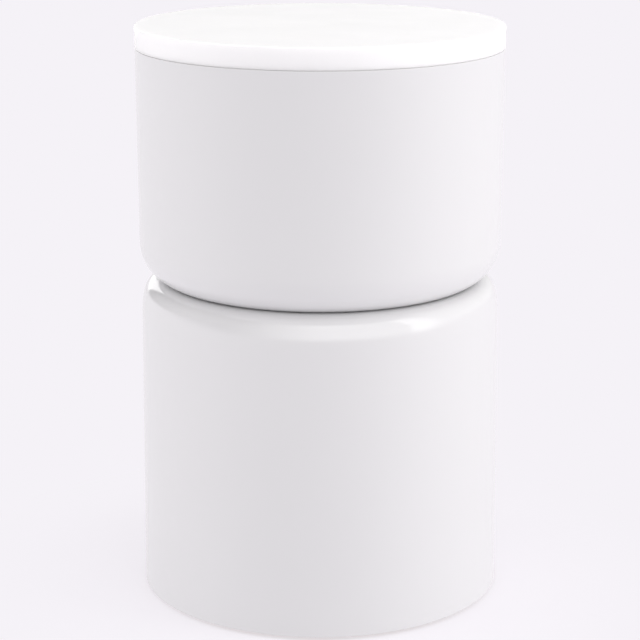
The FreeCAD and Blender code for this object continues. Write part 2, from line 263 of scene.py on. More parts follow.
def chosen(tree, question, if_not, if_so):
    """One of two geometries: the second where the number in question is more than nothing."""
    asked = maths(tree, "GREATER_THAN", question, 0.0)
    ways = {"Switch": asked, "False": if_not, "True": if_so}
    return add(tree, "GeometryNodeSwitch", ways, input_type="GEOMETRY").outputs[0]


def finish_tree(tree, geometry, sockets, result):
    """Smooth faces with crisp corners, instances made real, and the finish set."""
    smooth = add(tree, "GeometryNodeSetShadeSmooth", {0: geometry}, domain="FACE")
    corner = add(tree, "GeometryNodeInputMeshEdgeAngle").outputs["Unsigned Angle"]
    sharp = maths(tree, "GREATER_THAN", corner, crisp_edge)
    edges = {0: smooth.outputs[0], "Selection": sharp, "Shade Smooth": False}
    crisp = add(tree, "GeometryNodeSetShadeSmooth", edges, domain="EDGE")
    real = add(tree, "GeometryNodeRealizeInstances", {0: crisp.outputs[0]})
    finish = {"Geometry": real.outputs[0], "Material": sockets["Material"]}
    tree.links.new(add(tree, "GeometryNodeSetMaterial", finish).outputs[0], result["Piece"])


print("a corner sharper than", round(math.degrees(crisp_edge)), "degrees stays crisp")

# %% [markdown]
# ## Lathe, drill and hardware
# Three trees make every piece. The lathe only turns. The drill cuts a ring of holes into a blank, with a
# countersink where a screw head sits flush. The hardware tree turns one fastener, threads it, cuts a hexagon
# socket into it or keeps only what lies inside a hexagon, and sets copies on a circle. A size that is left
# at nothing switches its step off.

# %% The three trees
finish_input = [("Material", "NodeSocketMaterial")]
circle_inputs = [("Count", count_socket, 1), ("Circle", value_socket), ("First Angle", value_socket)]
piece_output = [("Piece", geometry_socket)]
hole_sides = 48
hexagon_sides = 6

lathe, given, made = new_tree("lathe", "GeometryNodeTree", turning_inputs + finish_input, piece_output)
finish_tree(lathe, nested(lathe, turning, given).outputs[0], given, made)

drill_inputs = [("Blank", geometry_socket)] + finish_input + circle_inputs
drill_inputs += [("Hole Radius", value_socket), ("Hole Low", value_socket), ("Hole High", value_socket)]
drill_inputs += [("Sink Radius", value_socket), ("Sink Low", value_socket), ("Sink High", value_socket)]
drill, given, made = new_tree("drill", "GeometryNodeTree", drill_inputs, piece_output)
bore = given["Hole Radius"]
bit = cone(drill, hole_sides, bore, bore, given["Hole Low"], given["Hole High"])
body = carved(drill, "DIFFERENCE", given["Blank"], on_circle(drill, bit, given))
sink = cone(drill, hole_sides, given["Sink Radius"], bore, given["Sink Low"], given["Sink High"])
sunk = carved(drill, "DIFFERENCE", body, on_circle(drill, sink, given))
finish_tree(drill, chosen(drill, given["Sink Radius"], body, sunk), given, made)

hexagon_inputs = [("Hexagon Radius", value_socket), ("Hexagon Low", value_socket)]
hexagon_inputs += [("Hexagon High", value_socket), ("Keep Inside", value_socket)]
hardware_inputs = turning_inputs + finish_input + circle_inputs + thread_inputs + hexagon_inputs
hardware, given, made = new_tree("hardware", "GeometryNodeTree", hardware_inputs, piece_output)
threaded = nested(hardware, threading, given)
hardware.links.new(nested(hardware, turning, given).outputs[0], threaded.inputs["Bar"])
body = threaded.outputs[0]
across = given["Hexagon Radius"]
hexagon = cone(hardware, hexagon_sides, across, across, given["Hexagon Low"], given["Hexagon High"])
socketed = carved(hardware, "DIFFERENCE", body, hexagon)
six_sided = carved(hardware, "INTERSECT", body, hexagon)
shaped = chosen(hardware, given["Keep Inside"], socketed, six_sided)
fastener = chosen(hardware, across, body, shaped)
finish_tree(hardware, on_circle(hardware, fastener, given), given, made)
print("trees:", [tree.name for tree in (lathe, drill, hardware)])

# %% [markdown]
# ## From outline to plain mesh
# A modifier that stays on a piece would be worked out again at each pose and lost in other programs.
# So each piece is evaluated once, the result is copied to a plain mesh, and the modifiers go. The
# faces are turned to look outwards, because a sweep can come out inside out.


# %% Make a piece from its outline
def outline_mesh(name, corners, closed):
    """A line through (radius, level, round) corners, with the rounds as an attribute."""
    mesh = bpy.data.meshes.new(name)
    last = len(corners) if closed else len(corners) - 1
    edges = [(step, (step + 1) % len(corners)) for step in range(last)]
    mesh.from_pydata([(corner[0], 0, corner[1]) for corner in corners], edges, [])
    rounds = mesh.attributes.new("round", "FLOAT", "POINT")
    for step, corner in enumerate(corners):
        rounds.data[step].value = corner[2] if len(corner) > 2 else 0.0
    return mesh


def modifier_input(tree, label):
    """The identifier of a tree's input, which is how a modifier knows it."""
    for item in tree.interface.items_tree:
        if item.in_out == "INPUT" and item.name == label:
            return item.identifier


def made_plain(piece):
    """The evaluated piece as a plain mesh with its faces outwards and no modifier."""
    seen = piece.evaluated_get(bpy.context.evaluated_depsgraph_get())
    plain = bpy.data.meshes.new_from_object(seen)
    piece.modifiers.clear()
    drawn, piece.data = piece.data, plain
    bpy.data.meshes.remove(drawn)
    plain.name = piece.name
    faces = bmesh.new()
    faces.from_mesh(plain)
    bmesh.ops.recalc_face_normals(faces, faces=faces.faces)
    faces.to_mesh(plain)
    faces.free()


# every node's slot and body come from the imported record
slot_of = {part["node"]: part["material_slot"] for part in frame["record"]["subparts"]}
body_of = {}
for body_name, members in frame["record"]["behaviour"]["bodies"].items():
    body_of.update({node: body_name for node in members})
finishes = {}


def shaped_piece(node, corners, closed, *stages):
    """A piece that stands for a node. Each stage is a tree and its sizes, one after the other."""
    name = node + "_shape"
    piece = bpy.data.objects.new(name, outline_mesh(name, corners, closed))
    bpy.context.collection.objects.link(piece)
    for tree, sizes in stages:
        modifier = piece.modifiers.new(tree.name, "NODES")
        modifier.node_group = tree
        for label, value in {**sizes, "Material": finishes[slot_of[node]]}.items():
            modifier[modifier_input(tree, label)] = value
    made_plain(piece)
    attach(piece, body_of[node])
    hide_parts(node)
    print(name, len(piece.data.polygons), "faces")


print("pieces for", len(slot_of), "nodes on", sorted(set(body_of.values())))

# %% [markdown]
# ## Effects that several finishes share
# No real surface is one flat colour. A sprayed coat has a faint ripple that painters call orange peel,
# handled surfaces are a little duller in patches, stone has flecks, foam and castings have pores, and
# turned metal keeps fine rings from the tool. Each effect is a small shader group, so that every finish
# can use it with its own strength.


# %% Shader groups
def noise(tree, place, scale, detail=3.0):
    """Soft noise at this many cells to the metre."""
    feeds = {"Vector": place, "Scale": scale, "Detail": detail}
    return add(tree, "ShaderNodeTexNoise", feeds).outputs["Fac"]


def mixed(tree, factor, first, second):
    """A colour between two others."""
    feeds = {"Factor": factor, "A": first, "B": second}
    return add(tree, "ShaderNodeMix", feeds, data_type="RGBA").outputs["Result"]


place_input = [("Place", vector_socket)]
scale_input = [("Scale", value_socket)]
height_output = [("Height", value_socket)]

drift_inputs = place_input + [("Light", colour_socket), ("Dark", colour_socket)] + scale_input
tone_drift, given, made = new_tree("tone_drift", "ShaderNodeTree", drift_inputs, [("Colour", colour_socket)])
drifting = noise(tone_drift, given["Place"], given["Scale"])
tone_drift.links.new(mixed(tone_drift, drifting, given["Dark"], given["Light"]), made["Colour"])

fleck_inputs = place_input + [("Ground", colour_socket), ("Fleck", colour_socket), ("Size", value_socket)]
flecks, given, made = new_tree(
    "flecks", "ShaderNodeTree", fleck_inputs + scale_input, [("Colour", colour_socket)]
)
cells = add(flecks, "ShaderNodeTexVoronoi", {"Vector": given["Place"], "Scale": given["Scale"]})
spot = maths(flecks, "LESS_THAN", cells.outputs["Distance"], given["Size"])
flecks.links.new(mixed(flecks, spot, given["Ground"], given["Fleck"]), made["Colour"])

patch_inputs = place_input + [("Polished", value_socket), ("Dulled", value_socket)] + scale_input
handling, given, made = new_tree(
    "handling_patches", "ShaderNodeTree", patch_inputs, [("Roughness", value_socket)]
)
patches = noise(handling, given["Place"], given["Scale"], detail=5.0)
levels = {"Value": patches, "To Min": given["Polished"], "To Max": given["Dulled"]}
handling.links.new(add(handling, "ShaderNodeMapRange", levels).outputs["Result"], made["Roughness"])

ripple, given, made = new_tree("surface_ripple", "ShaderNodeTree", place_input + scale_input, height_output)
ripple.links.new(noise(ripple, given["Place"], given["Scale"], detail=2.0), made["Height"])

pores, given, made = new_tree("open_pores", "ShaderNodeTree", place_input + scale_input, height_output)
pits = add(pores, "ShaderNodeTexVoronoi", {"Vector": given["Place"], "Scale": given["Scale"]})
pore_rim = 0.5
pore_softness = 0.2
pore_depth = maths(pores, "SMOOTH_MIN", pits.outputs["Distance"], pore_rim, pore_softness)
pores.links.new(pore_depth, made["Height"])

tool_rings, given, made = new_tree("tool_rings", "ShaderNodeTree", place_input + scale_input, height_output)
axes = add(tool_rings, "ShaderNodeSeparateXYZ", {0: given["Place"]}).outputs
flat_place = add(tool_rings, "ShaderNodeCombineXYZ", {"X": axes["X"], "Y": axes["Y"]}).outputs[0]
from_axis = add(tool_rings, "ShaderNodeVectorMath", {0: flat_place}, operation="LENGTH").outputs["Value"]
along = maths(tool_rings, "ADD", from_axis, axes["Z"])
ring_marks = {"W": along, "Scale": given["Scale"], "Detail": 2.0}
marks = add(tool_rings, "ShaderNodeTexNoise", ring_marks, noise_dimensions="1D")
tool_rings.links.new(marks.outputs["Fac"], made["Height"])
shared_groups = (tone_drift, flecks, handling, ripple, pores, tool_rings)
print("shader groups:", [group.name for group in shared_groups])

# %% [markdown]
# ## Plywood as a solid
# Plywood is thin sheets of veneer, glued with the grain of each across the next. If the colour is worked
# out in the whole volume, the faces show long grain and the cut edges show the layers by themselves, and
# no seam has to be hidden. The level tells which sheet a point lies in, and every second sheet takes its
# grain the other way.

# %% The plywood group
plywood_inputs = place_input + [("Light", colour_socket), ("Dark", colour_socket), ("Sheet", value_socket)]
plywood, given, made = new_tree(
    "plywood", "ShaderNodeTree", plywood_inputs, [("Colour", colour_socket)] + height_output
)
grain_along = 9.0
grain_across = 170.0
sheet_offset = 3.7
glue_share = 0.06
glue_shade = 0.55
axes = add(plywood, "ShaderNodeSeparateXYZ", {0: given["Place"]}).outputs
level = maths(plywood, "DIVIDE", axes["Z"], given["Sheet"])
sheet = maths(plywood, "FLOOR", level)
crossed = maths(plywood, "MODULO", sheet, 2.0)
own_place = maths(plywood, "MULTIPLY", sheet, sheet_offset)
grain_scales = ((grain_along, grain_across), (grain_across, grain_along))
directions = []
for scale_x, scale_y in grain_scales:
    stretched = {"X": maths(plywood, "MULTIPLY", axes["X"], scale_x)}
    stretched["Y"] = maths(plywood, "MULTIPLY", axes["Y"], scale_y)
    stretched["Z"] = own_place
    directions.append(add(plywood, "ShaderNodeCombineXYZ", stretched).outputs[0])
turned_grain = {"Factor": crossed, "A": directions[0], "B": directions[1]}
grain_place = add(plywood, "ShaderNodeMix", turned_grain, data_type="VECTOR").outputs["Result"]
grain = noise(plywood, grain_place, 1.0, detail=6.0)
wood = mixed(plywood, grain, given["Dark"], given["Light"])
in_glue = maths(plywood, "LESS_THAN", maths(plywood, "FRACT", level), glue_share)
glued = maths(plywood, "MULTIPLY", in_glue, glue_shade)
plywood.links.new(mixed(plywood, glued, wood, given["Dark"]), made["Colour"])
plywood.links.new(grain, made["Height"])
print("group", plywood.name, "has", len(plywood.nodes), "nodes")

# %% [markdown]
# ## The finishes
# A finish here is a Principled shader whose colour, roughness and bump come from the shared groups. What
# is the same all over, such as metal, a clear coat or the depth that light reaches into stone, is set on
# the shader itself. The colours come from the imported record, where each slot has its base colour.


# %% A finish from its slot
class Finish:
    """A material under construction: its shader, its coordinates and its links."""

    def __init__(self, slot):
        self.material = bpy.data.materials.new(slot)
        self.material.use_nodes = True
        self.tree = self.material.node_tree
        self.shader = self.tree.nodes["Principled BSDF"]
        self.place = add(self.tree, "ShaderNodeTexCoord").outputs["Object"]
        finishes[slot] = self.material

    def effect(self, group, **values):
        """The outputs of one shared group, fed with Object coordinates and these values."""
        node = add(self.tree, "ShaderNodeGroup", node_tree=group)
        self.tree.links.new(self.place, node.inputs["Place"])
        for label, value in values.items():
            node.inputs[label].default_value = value
        return node.outputs

    def feed(self, socket, source):
        """One socket of the shader, wired to this source."""
        self.tree.links.new(source, self.shader.inputs[socket])

    def fixed(self, **values):
        """Values that are the same all over, set on the shader's own sockets."""
        for label, value in values.items():
            self.shader.inputs[label.replace("_", " ")].default_value = value

    def worn(self, polished, dulled, scale):
        """Roughness that goes between two values in patches."""
        self.feed("Roughness", self.effect(handling, Polished=polished, Dulled=dulled, Scale=scale)[0])

    def relief(self, height, depth):
        """Relief of this depth in metres."""
        bump = add(self.tree, "ShaderNodeBump", {"Height": height, "Distance": depth})
        self.feed("Normal", bump.outputs["Normal"])


record_colour = {slot["slot"]: slot["base_color"] for slot in frame["record"]["materials"]}


def toned(slot, share):
    """The slot's own colour, made lighter or darker by a share."""
    return [min(channel * share, 1.0) for channel in record_colour[slot]] + [1.0]


def drifting_finish(slot, contrast, scale):
    """A finish whose tone drifts a little about the slot's own colour."""
    finish = Finish(slot)
    tones = {"Light": toned(slot, 1 + contrast), "Dark": toned(slot, 1 - contrast), "Scale": scale}
    finish.feed("Base Color", finish.effect(tone_drift, **tones)["Colour"])
    return finish


print("colours for", len(record_colour), "slots")

# %% [markdown]
# ## Gloss lacquer and white stone
# The drums are sprayed and polished. They mirror the room with a very faint ripple, so the roughness is low
# and the index of refraction is that of a hard lacquer. The lid is a solid surface with fine flecks. Light
# goes a few millimetres into it, which Subsurface gives, and its edge looks as white as its top.

# %% The drums' gloss and the lid's stone
gloss = drifting_finish("drum_gloss", contrast=0.008, scale=9)
gloss.worn(polished=0.05, dulled=0.1, scale=11)
gloss.fixed(IOR=1.7)
gloss.relief(gloss.effect(ripple, Scale=260)["Height"], depth=0.006 * mm)

stone = Finish("lid_stone")
stone_colours = {"Ground": toned("lid_stone", 1.0), "Fleck": toned("lid_stone", 0.97)}
stone.feed("Base Color", stone.effect(flecks, Size=0.22, Scale=1400, **stone_colours)["Colour"])
stone.worn(polished=0.12, dulled=0.2, scale=14)
stone.fixed(Subsurface_Weight=1.0, Subsurface_Radius=(1.0, 1.0, 1.0), Subsurface_Scale=5 * mm)
stone.relief(stone.effect(ripple, Scale=90)["Height"], depth=0.01 * mm)
print("lid colour", [round(channel, 2) for channel in record_colour["lid_stone"]])

# %% [markdown]
# ## Moulded, painted and cast finishes
# These differ in a few numbers only: how much the tone drifts, how dull the surface is, and how fine and
# deep its relief is. Moulded plastic and powder coat have a fine ripple, while foam and cast iron have pores.

# %% Plastics, paint, foam and iron
dull_tone_scale = 120
dull_patch_scale = 45
for slot, contrast, polished, dulled, group, relief_scale, relief_depth in (
    ("spigot_plastic", 0.02, 0.32, 0.45, ripple, 2200, 0.02 * mm),
    ("glide_nylon", 0.05, 0.4, 0.55, ripple, 1800, 0.03 * mm),
    ("spacer_plastic", 0.04, 0.55, 0.7, ripple, 1500, 0.03 * mm),
    ("clamp_paint", 0.02, 0.42, 0.55, ripple, 900, 0.05 * mm),
    ("gasket_rubber", 0.05, 0.75, 0.9, pores, 1600, 0.05 * mm),
    ("ballast_iron", 0.2, 0.55, 0.8, pores, 420, 0.35 * mm),
):
    plain = drifting_finish(slot, contrast, dull_tone_scale)
    plain.worn(polished, dulled, dull_patch_scale)
    plain.relief(plain.effect(group, Scale=relief_scale)["Height"], relief_depth)
print("finishes so far:", len(finishes))

# %% [markdown]
# ## Metals and wood
# Bare metal has no colour under its reflection, so Metallic is one, and fine rings from the tool draw out
# the highlights. The plywood group gives the foot its grain on the faces and its layers on the edges.

# %% Metals and birch
for slot, polished, dulled, ring_scale in (
    ("ledge_aluminium", 0.34, 0.48, 5000),
    ("zinc_steel", 0.2, 0.38, 3000),
    ("insert_brass", 0.16, 0.3, 3000),
):
    metal = drifting_finish(slot, contrast=0.06, scale=90)
    metal.worn(polished, dulled, scale=60)
    metal.fixed(Metallic=1.0)
    metal.relief(metal.effect(tool_rings, Scale=ring_scale)["Height"], depth=0.01 * mm)

birch = Finish("foot_plywood")
sheet_thickness = 1.5 * mm
birch_tones = {"Light": toned("foot_plywood", 1.2), "Dark": toned("foot_plywood", 0.72)}
birch_wood = birch.effect(plywood, Sheet=sheet_thickness, **birch_tones)
birch.feed("Base Color", birch_wood["Colour"])
birch.worn(polished=0.42, dulled=0.58, scale=40)
birch.relief(birch_wood["Height"], depth=0.06 * mm)
print("finishes:", len(finishes))

# %% [markdown]
# ## The two drums
# Both drums are moulded shells with a slight draft, so that they leave the mould. The lower one closes
# over in a soft shoulder of two radii, a wide sweep that tightens into the crown. The upper one has a
# wide round that ends in a small one at its floor, so the drums meet in a fine crease and not in a deep
# dark slot. The inner skin runs parallel to the outer one, so each round inside is smaller by the wall.
# An outline needs only the corners, and the tree rounds them.

# %% Drum outlines
wall = 4 * mm
edge_ease = 0.8 * mm
seam_ease = 0.3 * mm
lower_draft = math.radians(0.45)
upper_draft = math.radians(0.3)
shoulder_blend = math.radians(14)
sweep_radius = 80 * mm
crown_edge_radius = 16 * mm
floor_blend = math.radians(65)
floor_round = 37 * mm
floor_edge_radius = 6 * mm
base_level = span["lower_drum"].low
crown_level = span["lower_drum"].high
floor_level = span["upper_drum"].low
mouth_level = span["upper_drum"].high


def lower_wall(level, depth):
    """Radius of the lower drum's wall at a level, this deep inside it."""
    return table_radius - (level - base_level) * math.tan(lower_draft) - depth / math.cos(lower_draft)


def upper_wall(level, depth):
    """Radius of the upper drum's wall at a level, this deep inside it."""
    return table_radius - (mouth_level - level) * math.tan(upper_draft) - depth / math.cos(upper_draft)


def two_round_corners(flat, up, blend, draft, edge_radius, wide_radius, wall_at, depth):
    """Corners between a flat end and a wall, with two tangent rounds, on a skin this deep inside."""
    edge_round = edge_radius - depth
    wide_round = wide_radius - depth
    slope = edge_round * math.tan((math.pi / 2 - blend) / 2) + wide_round * math.tan((blend - draft) / 2)
    end = flat - up * depth
    level = end - up * slope * math.cos(blend)
    side = wall_at(level, depth)
    return [(side - slope * math.sin(blend), end, edge_round), (side, level, wide_round)]


def shoulder_corners(depth):
    """The lower drum's crown and wall corners."""
    sizes = (shoulder_blend, lower_draft, crown_edge_radius, sweep_radius)
    return two_round_corners(crown_level, 1, *sizes, lower_wall, depth)


def floor_corners(depth):
    """The upper drum's floor and wall corners."""
    sizes = (floor_blend, upper_draft, floor_edge_radius, floor_round)
    return two_round_corners(floor_level, -1, *sizes, upper_wall, depth)


lower_corners = [(0, crown_level)] + shoulder_corners(0)
lower_corners += [(table_radius, base_level, edge_ease), (lower_wall(base_level, wall), base_level)]
lower_corners += shoulder_corners(wall)[::-1] + [(0, crown_level - wall)]

upper_corners = [(0, floor_level)] + floor_corners(0)
upper_corners += [(table_radius, mouth_level, seam_ease), (upper_wall(mouth_level, wall), mouth_level)]
upper_corners += floor_corners(wall)[::-1] + [(0, floor_level + wall)]
print("outlines:", len(lower_corners), "and", len(upper_corners), "corners")

# %% [markdown]
# ## Turning and drilling the drums
# The lathe tree turns each outline with enough segments for a smooth rim. The drill tree then cuts six holes
# for the studs through floor and crown. One set of sizes serves both drums, so the holes always line up.

# %% Turn the drums and drill them
smooth_round = {"Segments": 256, "Points per Round": 24, "Longest Run": 8 * mm}
spare = 1 * mm
stud_radius = span["waist_studs"].reach
stud_circle = {"Count": 6, "Circle": span["waist_studs"].circle}
hole_clearance = 0.5 * mm


def holes(circle, radius, low, high, **sink):
    """Sizes of a ring of holes between two levels, with any countersink."""
    return {**circle, "Hole Radius": radius, "Hole Low": low, "Hole High": high, **sink}


stud_way = (span["lower_clamp_ring"].low - spare, span["clamp_disc"].low + spare)
stud_holes = holes(stud_circle, stud_radius + hole_clearance, *stud_way)
shaped_piece("lower_drum", lower_corners, False, (lathe, smooth_round), (drill, stud_holes))
shaped_piece("upper_drum", upper_corners, False, (lathe, smooth_round), (drill, stud_holes))

# %% [markdown]
# ## The lid
# The lid is one thick slab with eased edges. Six brass inserts sit in blind holes under it, and hold a
# ring that drops into the drum's mouth and keeps the lid in the middle. The screws are countersunk, so
# the ring's underside stays flat.

# %% Slab, inserts and ring
lid_top_ease = 1.2 * mm
fit_clearance = 0.05 * mm
slab = span["lid_slab"]
inserts = span["lid_inserts"]
lid_corners = [(0, slab.low), (slab.outer, slab.low, seam_ease)]
lid_corners += [(slab.outer, slab.high, lid_top_ease), (0, slab.high)]
lid_circle = {"Count": 6, "Circle": inserts.circle}
insert_holes = holes(lid_circle, inserts.reach + fit_clearance, slab.low - spare, inserts.high + spare)
shaped_piece("lid_slab", lid_corners, False, (lathe, smooth_round), (drill, insert_holes))

lid_thread = 2.5 * mm
neck_depth = 0.5 * mm
insert_neck = inserts.reach - neck_depth
insert_bore = lid_thread + fit_clearance
third = (inserts.high - inserts.low) / 3
insert_corners = [
    (insert_bore, inserts.low),
    (inserts.reach, inserts.low),
    (inserts.reach, inserts.low + third),
    (insert_neck, inserts.low + third),
    (insert_neck, inserts.high - third),
    (inserts.reach, inserts.high - third),
    (inserts.reach, inserts.high),
    (insert_bore, inserts.high),
]
# a thread fades out near its ends, so a knurl that runs from end to end has its own far outside the insert
no_fade = 10 * table_radius
knurl = {
    "Segments": 144,
    "Longest Run": 0.5 * mm,
    "Thread Starts": 24,
    "Thread Pitch": 150 * mm,
    "Thread Depth": 0.06,
    "Thread Core": insert_neck + fit_clearance,
    "Thread Low": -no_fade,
    "Thread High": no_fade,
}
shaped_piece("lid_inserts", insert_corners, True, (hardware, {**lid_circle, **knurl}))

lid_ring = span["lid_ring"]
lead = 3 * mm
lid_ring_corners = [
    (lid_ring.inner, lid_ring.low, edge_ease),
    (lid_ring.outer - lead, lid_ring.low),
    (lid_ring.outer, lid_ring.low + lead),
    (lid_ring.outer, lid_ring.high),
    (lid_ring.inner, lid_ring.high),
]


def countersink(face, head, thread, room):
    """Sizes of a countersink from a face upwards, for a head with this much room all round."""
    rise = head - thread
    return {"Sink Radius": head + room + spare, "Sink Low": face - spare, "Sink High": face + rise}


ring_sinks = countersink(lid_ring.low, span["lid_ring_screws"].reach, lid_thread, hole_clearance)
through_ring = (lid_ring.low - spare, lid_ring.high + spare)
ring_holes = holes(lid_circle, lid_thread + hole_clearance, *through_ring, **ring_sinks)
shaped_piece("lid_ring", lid_ring_corners, True, (lathe, smooth_round), (drill, ring_holes))

# %% [markdown]
# ## Countersunk screws
# The lid, the foot plate, the weight and the glides are all held by flat-headed screws with a hexagon
# socket, heads down. One function gives the outline and the sizes of any of them: a machine screw ends
# in a small chamfer, and a wood screw tapers to a point and has a thin, steep thread.


# %% A function for screws, and the six under the lid
vee_depth = 0.61  # of the pitch
wood_thread_depth = 0.28  # of the radius
wood_steepness = 2.2
screw_segments = 32
runs_per_pitch = 5


def flat_head_screws(node, circle, thread, pitch, socket, tip=0.0):
    """A ring of countersunk screws, heads down. A tip of nothing means a machine screw."""
    size = span[node]
    rise = size.reach - thread
    chamfer = pitch / 2
    corners = [(0, size.low), (size.reach, size.low), (thread, size.low + rise)]
    if tip:
        corners += [(thread, size.high - tip), (0, size.high)]
    else:
        corners += [(thread, size.high - chamfer), (thread - chamfer, size.high), (0, size.high)]
    sizes = {
        **circle,
        "Circle": size.circle,
        "Segments": screw_segments,
        "Longest Run": pitch / runs_per_pitch,
        "Thread Pitch": pitch,
        "Thread Depth": wood_thread_depth if tip else vee_depth * pitch / thread,
        "Thread Low": size.low + rise,
        "Thread High": size.high + pitch,
        "Steepness": wood_steepness if tip else 1.0,
        "Hexagon Radius": socket / math.sqrt(3),
        "Hexagon Low": size.low - spare,
        "Hexagon High": size.low + rise,
    }
    shaped_piece(node, corners, False, (hardware, sizes))


flat_head_screws("lid_ring_screws", lid_circle, lid_thread, pitch=0.8 * mm, socket=3 * mm)

# %% [markdown]
# ## The seam under the lid
# An aluminium angle ring is bonded inside the drum's mouth. Its ledge carries the lid on a soft pale
# gasket, set back a little from the outside: that is the thin line below the slab in the photograph.

# %% Ledge ring and gasket
ledge = span["mouth_ring"]
bond_line = 0.3 * mm
ledge_thickness = 5 * mm
leg_thickness = 4 * mm
ledge_corner = 3 * mm
ledge_low = ledge.high - ledge_thickness
leg_outside = wall + bond_line
leg_inside = leg_outside + leg_thickness
mouth_ring_corners = [
    (ledge.inner, ledge.high, edge_ease),
    (upper_wall(ledge.high, leg_outside), ledge.high),
    (upper_wall(ledge.low, leg_outside), ledge.low),
    (upper_wall(ledge.low, leg_inside), ledge.low),
    (upper_wall(ledge_low, leg_inside), ledge_low, ledge_corner),
    (ledge.inner, ledge_low),
]
shaped_piece("mouth_ring", mouth_ring_corners, True, (lathe, smooth_round))


def flat_ring(inner, outer, low, high, ease):
    """A closed outline of a flat ring, with its corners eased."""
    return [(inner, low, ease), (outer, low, ease), (outer, high, ease), (inner, high, ease)]


def node_ring(node, ease):
    """The outline of a node that is a flat ring about the table's axis."""
    return flat_ring(span[node].inner, span[node].outer, span[node].low, span[node].high, ease)


sheet_ease = 0.1 * mm
shaped_piece("mouth_gasket", node_ring("mouth_gasket", sheet_ease), True, (lathe, smooth_round))

# %% [markdown]
# ## The waist joint
# The drums are clamped floor to crown. A painted disc inside the upper drum takes the studs in blind
# holes, so nothing shows in the storage space. Between the drums lies a pale spacer, which makes the fine
# crease in the photograph. Under the crown a steel ring, washers and lock nuts pull it all together.

# %% Spacer, disc and ring
disc = span["clamp_disc"]
disc_ease = 1.5 * mm
disc_corners = [(0, disc.low), (disc.outer, disc.low), (disc.outer, disc.high, disc_ease), (0, disc.high)]
stud_sockets = holes(stud_circle, stud_radius + fit_clearance, disc.low - spare, span["waist_studs"].high)
shaped_piece("clamp_disc", disc_corners, False, (lathe, smooth_round), (drill, stud_sockets))
soft_ease = 0.3 * mm
for node, ease in (("waist_spacer", sheet_ease), ("lower_clamp_ring", soft_ease)):
    shaped_piece(node, node_ring(node, ease), True, (lathe, smooth_round), (drill, stud_holes))

# %% [markdown]
# ## Studs, washers and lock nuts
# The studs are threaded bars. A nut is turned with its corners already bevelled, and only what lies inside a
# hexagon is kept, which leaves the curved bevels that real nuts have. The weight in the foot is held by the
# same kind of nut, so both are functions.

# %% Studs, washers and nuts
studs = span["waist_studs"]
stud_pitch = 1.25 * mm
stud_lead = 1 * mm
stud_corners = [
    (0, studs.low),
    (stud_radius - stud_lead, studs.low),
    (stud_radius, studs.low + stud_lead),
    (stud_radius, studs.high),
    (0, studs.high),
]
stud_thread = {
    "Segments": screw_segments,
    "Longest Run": stud_pitch / runs_per_pitch,
    "Thread Pitch": stud_pitch,
    "Thread Depth": vee_depth * stud_pitch / stud_radius,
    "Thread Low": studs.low - stud_pitch,
    "Thread High": studs.high,
}
shaped_piece("waist_studs", stud_corners, False, (hardware, {**stud_circle, **stud_thread}))

fine_turn = {"Segments": 64, "Points per Round": 4, "Longest Run": 2 * mm}


def washers(node, thread, circle):
    """A ring of flat washers."""
    size = span[node]
    corners = flat_ring(thread + hole_clearance, size.reach, size.low, size.high, soft_ease)
    shaped_piece(node, corners, True, (hardware, {**fine_turn, **circle}))


def lock_nuts(node, thread, circle, seat_is_low):
    """A ring of hexagon nuts with chamfered corners and a round collar on the far side."""
    size = span[node]
    corner = size.reach
    flat = corner * math.cos(math.pi / hexagon_sides)
    collar_height = 1.5 * mm
    collar = flat - collar_height / 2
    chamfer = corner - flat
    seat, end = (size.low, size.high) if seat_is_low else (size.high, size.low)
    up = 1 if seat_is_low else -1
    shoulder = end - up * collar_height
    bore = thread + fit_clearance
    corners = [
        (bore, seat),
        (flat, seat),
        (corner + spare, seat + up * (chamfer + spare) / 2),
        (corner + spare, shoulder - up * (chamfer + spare) / 2),
        (flat, shoulder),
        (collar, shoulder),
        (collar, end, soft_ease),
        (bore, end),
    ]
    hexagon = {
        "Hexagon Radius": corner,
        "Hexagon Low": size.low - spare,
        "Hexagon High": size.high + spare,
        "Keep Inside": 1.0,
    }
    shaped_piece(node, corners, True, (hardware, {**fine_turn, **circle, **hexagon}))


washers("waist_washers", stud_radius, stud_circle)
lock_nuts("waist_nuts", stud_radius, stud_circle, False)

# %% [markdown]
# ## The foot
# A plywood ring is bonded inside the foot of the lower drum, and a plywood plate closes it. The plate
# carries an iron weight, so that the table does not tip when something heavy stands on its edge, and four
# nylon glides that keep the lacquer off the floor.

# %% Ring, plate and weight
wood_thread = 2 * mm
ballast_thread = 3 * mm
foot_ring = span["base_ring"]
ring_outside = wall + bond_line
base_ring_corners = [
    (foot_ring.inner, foot_ring.low),
    (lower_wall(foot_ring.low, ring_outside), foot_ring.low),
    (lower_wall(foot_ring.high, ring_outside), foot_ring.high),
    (foot_ring.inner, foot_ring.high, edge_ease),
]
base_screws = span["base_screws"]
pilot_spare = 1.5 * mm
base_circle = {"Count": 8, "Circle": base_screws.circle, "First Angle": math.pi / 8}
pilot_way = (foot_ring.low - spare, base_screws.high + pilot_spare)
pilots = holes(base_circle, wood_thread + fit_clearance, *pilot_way)
shaped_piece("base_ring", base_ring_corners, True, (lathe, smooth_round), (drill, pilots))

plate = span["base_plate"]
weight = span["ballast_plate"]
glides = span["glides"]
ballast_bolts = span["ballast_bolts"]
ballast_circle = {"Count": 4, "Circle": ballast_bolts.circle}
glide_circle = {"Count": 4, "Circle": glides.circle, "First Angle": math.pi / 4}


def plate_seats(circle, thread, head):
    """A ring of countersunk holes through the plate."""
    sinks = countersink(plate.low, head, thread, fit_clearance)
    return holes(circle, thread + fit_clearance, plate.low - spare, plate.high + spare, **sinks)


